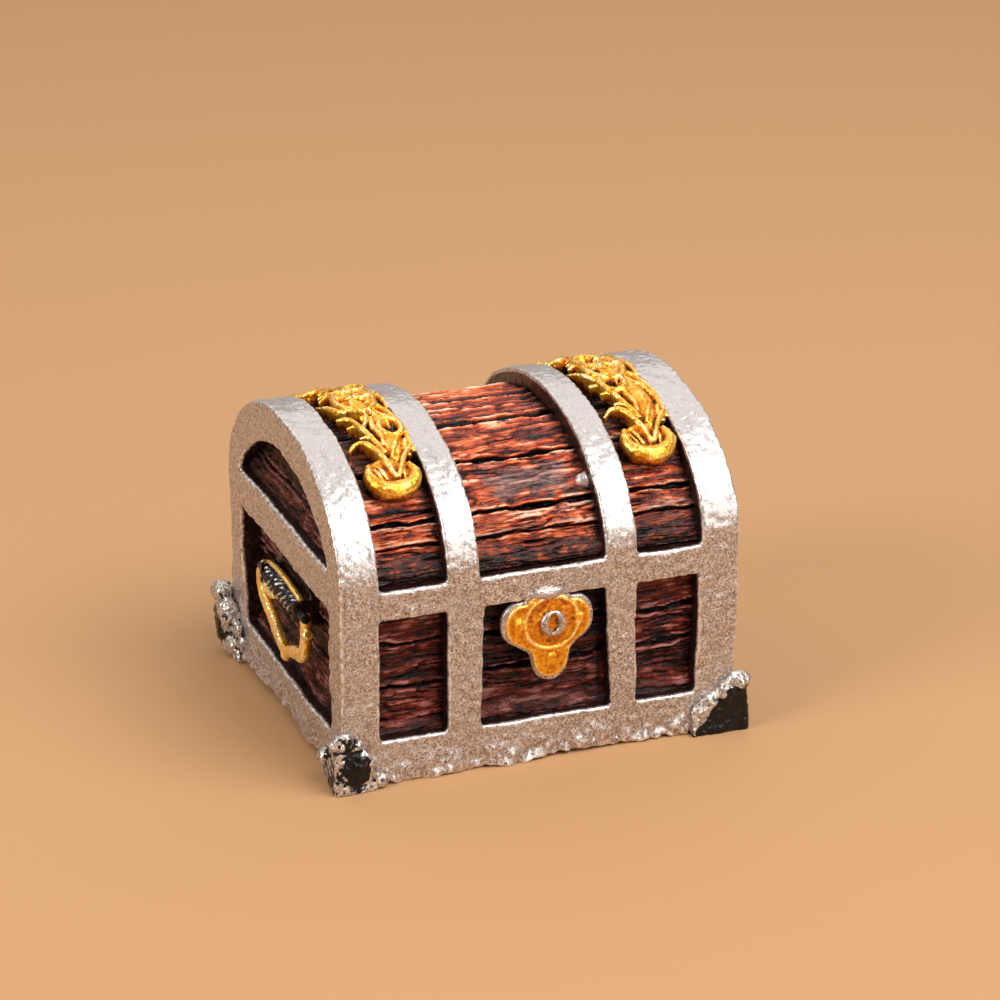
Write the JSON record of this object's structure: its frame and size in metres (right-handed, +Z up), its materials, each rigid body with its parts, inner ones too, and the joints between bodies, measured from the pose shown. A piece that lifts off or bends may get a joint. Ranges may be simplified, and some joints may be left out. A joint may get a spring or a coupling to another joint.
{
  "type": "bubbling treasure chest ornament",
  "caption": "Small strapped treasure chest for an aquarium, with a barrel lid that rising air lifts about rear hinges, drop handles on the ends and an airline spigot at the rear.",
  "frame": {"origin": "centre of the object's bounding box in plan, on the surface that the chest stands on", "axes": "+X to the right along the front, +Y from the front to the rear with the hinges, +Z up"},
  "size_m": [0.0752, 0.067, 0.0559],
  "materials": {
    "silver_paint": "satin aluminium-flake paint on moulded plastic",
    "body_boards": "carved plank relief, dark red-brown paint with black wash",
    "lid_boards": "carved plank relief, red-brown paint with black wash and dry-brushed orange edges",
    "gold_paint": "bright gold paint over moulded relief",
    "coins": "gold paint with dark wash between the coins",
    "black_paint": "gloss black paint with silver on the raised edges",
    "handle_barrel": "ridged, black in the grooves and silver on the ridges",
    "steel_pin": "plain stainless steel",
    "air_fittings": "smooth milky plastic",
    "air_stone": "porous sintered stone, blue-grey",
    "ballast": "black coated iron"
  },
  "bodies": {
    "chest_body": {"floor_plate": "silver_paint", "front_frame": "silver_paint", "rear_frame": "silver_paint", "left_end_frame": "silver_paint", "right_end_frame": "silver_paint", "front_boards": "body_boards", "rear_boards": "body_boards", "left_end_boards": "body_boards", "right_end_boards": "body_boards", "front_left_foot": "black_paint", "front_right_foot": "black_paint", "rear_right_foot": "black_paint", "rear_left_foot": "black_paint", "lock_plate": "gold_paint", "keyhole_ring": "silver_paint", "left_handle_plate": "gold_paint", "right_handle_plate": "gold_paint", "left_handle_pin": "handle_barrel", "right_handle_pin": "handle_barrel", "left_hinge_body_leaf": "silver_paint", "right_hinge_body_leaf": "silver_paint", "left_hinge_pin": "steel_pin", "right_hinge_pin": "steel_pin", "air_inlet": "air_fittings", "air_pipe": "air_fittings", "air_stone": "air_stone", "ballast_plate": "ballast", "coin_heap": "coins", "lid_stay_peg": "steel_pin"},
    "lid": {"left_lid_end_frame": "silver_paint", "right_lid_end_frame": "silver_paint", "left_lid_band": "silver_paint", "right_lid_band": "silver_paint", "left_lid_end_board": "lid_boards", "right_lid_end_board": "lid_boards", "left_lid_filigree": "gold_paint", "right_lid_filigree": "gold_paint", "lid_stave_1": "lid_boards", "lid_stave_2": "lid_boards", "lid_stave_3": "lid_boards", "lid_stave_4": "lid_boards", "lid_stave_5": "lid_boards", "lid_stave_6": "lid_boards", "lid_stave_7": "lid_boards", "air_bell": "air_fittings", "lid_stay": "steel_pin", "left_hinge_lid_leaf": "silver_paint", "right_hinge_lid_leaf": "silver_paint"},
    "left_bail": {"left_handle_bail": "gold_paint"},
    "right_bail": {"right_handle_bail": "gold_paint"}
  },
  "joints": [
    {"name": "lid_hinge", "type": "hinge", "parent": "chest_body", "child": "lid", "pos_m": [0, 0.03165, 0.0347], "axis": [-1, 0, 0], "range_deg": [0, 40]},
    {"name": "left_bail_hinge", "type": "hinge", "parent": "chest_body", "child": "left_bail", "pos_m": [-0.035, 0, 0.023], "axis": [0, 1, 0], "range_deg": [-8, 90]},
    {"name": "right_bail_hinge", "type": "hinge", "parent": "chest_body", "child": "right_bail", "pos_m": [0.035, 0, 0.023], "axis": [0, -1, 0], "range_deg": [-8, 90]}
  ]
}
